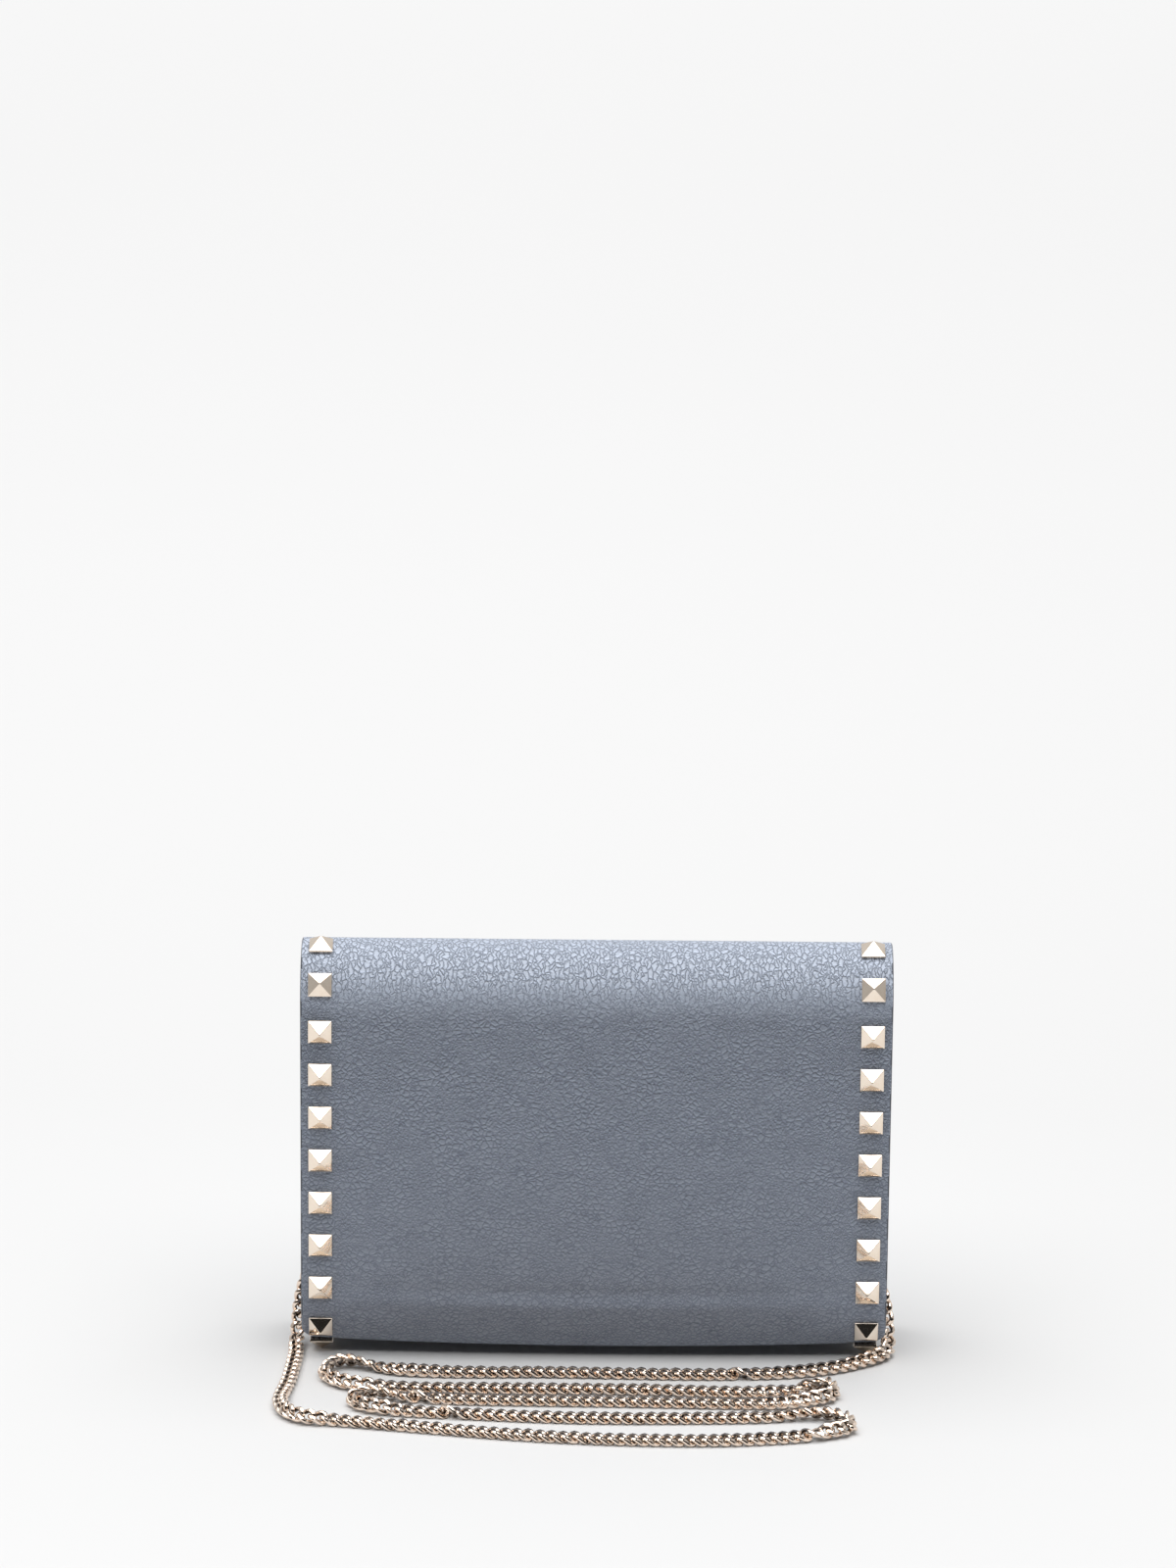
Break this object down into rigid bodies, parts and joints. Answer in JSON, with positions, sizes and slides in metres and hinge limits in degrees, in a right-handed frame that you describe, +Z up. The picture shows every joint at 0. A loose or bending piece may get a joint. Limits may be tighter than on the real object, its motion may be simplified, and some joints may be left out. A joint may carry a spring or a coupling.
{
  "type": "chain wallet",
  "caption": "Upright flap-top leather chain wallet with pyramid studs down both sides, folded gussets, card and zip pockets, and a long curb chain on clasps.",
  "frame": {"origin": "middle of the wallet's footprint, at the tips of the four studs that it stands on", "axes": "+X along the width, to the right as seen from the front; +Y from the front face towards the back panel; +Z up"},
  "size_m": [0.2117, 0.1154, 0.1485],
  "materials": {
    "leather": "pebbled grain, semi-matt, dark painted edges",
    "pocket_leather": "thin grained leather, semi-matt",
    "lining": "fine matt suede cloth",
    "zip_tape": "woven tape",
    "studs": "polished pale gold plate",
    "chain_hardware": "polished pale gold plate",
    "zip_metal": "polished pale gold plate",
    "snap_metal": "satin pale gold plate",
    "chain": "polished pale gold plate"
  },
  "bodies": {
    "root": {"back_lining": "lining", "back_panel": "leather", "base_panel": "leather", "card_pocket_1": "pocket_leather", "card_pocket_2": "pocket_leather", "card_pocket_3": "pocket_leather", "chain_floor_run": "chain", "chain_riser_left": "chain", "chain_riser_right": "chain", "foot_stud_front_left": "studs", "foot_stud_front_right": "studs", "foot_stud_rear_left": "studs", "foot_stud_rear_right": "studs", "gusset_left": "leather", "gusset_right": "leather", "ring_tab_left": "leather", "ring_tab_right": "leather", "zip_pocket_wall_front": "lining", "zip_pocket_wall_rear": "lining", "zip_tape_front": "zip_tape", "zip_tape_rear": "zip_tape", "zip_teeth_front": "zip_metal", "zip_teeth_rear": "zip_metal"},
    "flap": {"flap_lining": "lining", "flap_panel": "leather", "flap_stud_left_01": "studs", "flap_stud_left_02": "studs", "flap_stud_left_03": "studs", "flap_stud_left_04": "studs", "flap_stud_left_05": "studs", "flap_stud_left_06": "studs", "flap_stud_left_07": "studs", "flap_stud_left_08": "studs", "flap_stud_left_09": "studs", "flap_stud_left_10": "studs", "flap_stud_right_01": "studs", "flap_stud_right_02": "studs", "flap_stud_right_03": "studs", "flap_stud_right_04": "studs", "flap_stud_right_05": "studs", "flap_stud_right_06": "studs", "flap_stud_right_07": "studs", "flap_stud_right_08": "studs", "flap_stud_right_09": "studs", "flap_stud_right_10": "studs", "snap_disc": "snap_metal"},
    "front": {"front_lining": "lining", "front_panel": "leather", "snap_magnet_cup": "snap_metal"},
    "slider": {"zip_slider": "zip_metal"},
    "pull": {"zip_pull": "zip_metal"},
    "ring_left": {"clasp_hook_left": "chain_hardware", "d_ring_left": "chain_hardware", "jump_ring_left": "chain_hardware"},
    "ring_right": {"clasp_hook_right": "chain_hardware", "d_ring_right": "chain_hardware", "jump_ring_right": "chain_hardware"},
    "gate_left": {"clasp_gate_left": "chain_hardware"},
    "gate_right": {"clasp_gate_right": "chain_hardware"}
  },
  "joints": [
    {"name": "flap_hinge", "type": "hinge", "parent": "root", "child": "flap", "pos_m": [0, 0.02105, 0.126], "axis": [-1, 0, 0], "range_deg": [0, 160]},
    {"name": "front_tilt", "type": "hinge", "parent": "root", "child": "front", "pos_m": [0, -0.0078, 0.00845], "axis": [1, 0, 0], "range_deg": [0, 8]},
    {"name": "zip_slide", "type": "slide", "parent": "root", "child": "slider", "axis": [-1, 0, 0], "range_m": [0, 0.118]},
    {"name": "zip_pull_flip", "type": "hinge", "parent": "slider", "child": "pull", "pos_m": [0.06, 0.0036, 0.10415], "axis": [0, 1, 0], "range_deg": [0, 180]},
    {"name": "ring_swing_left", "type": "hinge", "parent": "root", "child": "ring_left", "pos_m": [-0.0884, 0.007, 0.106], "axis": [0, 1, 0], "range_deg": [0, 35]},
    {"name": "ring_swing_right", "type": "hinge", "parent": "root", "child": "ring_right", "pos_m": [0.0884, 0.007, 0.106], "axis": [0, -1, 0], "range_deg": [0, 35]},
    {"name": "clasp_gate_spring_left", "type": "hinge", "parent": "ring_left", "child": "gate_left", "pos_m": [-0.0905, 0.007, 0.0959], "axis": [0, 1, 0], "range_deg": [0, 25], "stiffness_Nm_per_rad": 0.01, "springref_deg": -5.73},
    {"name": "clasp_gate_spring_right", "type": "hinge", "parent": "ring_right", "child": "gate_right", "pos_m": [0.0905, 0.007, 0.0959], "axis": [0, -1, 0], "range_deg": [0, 25], "stiffness_Nm_per_rad": 0.01, "springref_deg": -5.73}
  ],
  "couplings": [
    {"joint": "front_tilt", "follows": "flap_hinge", "ratio": 0.05}
  ]
}
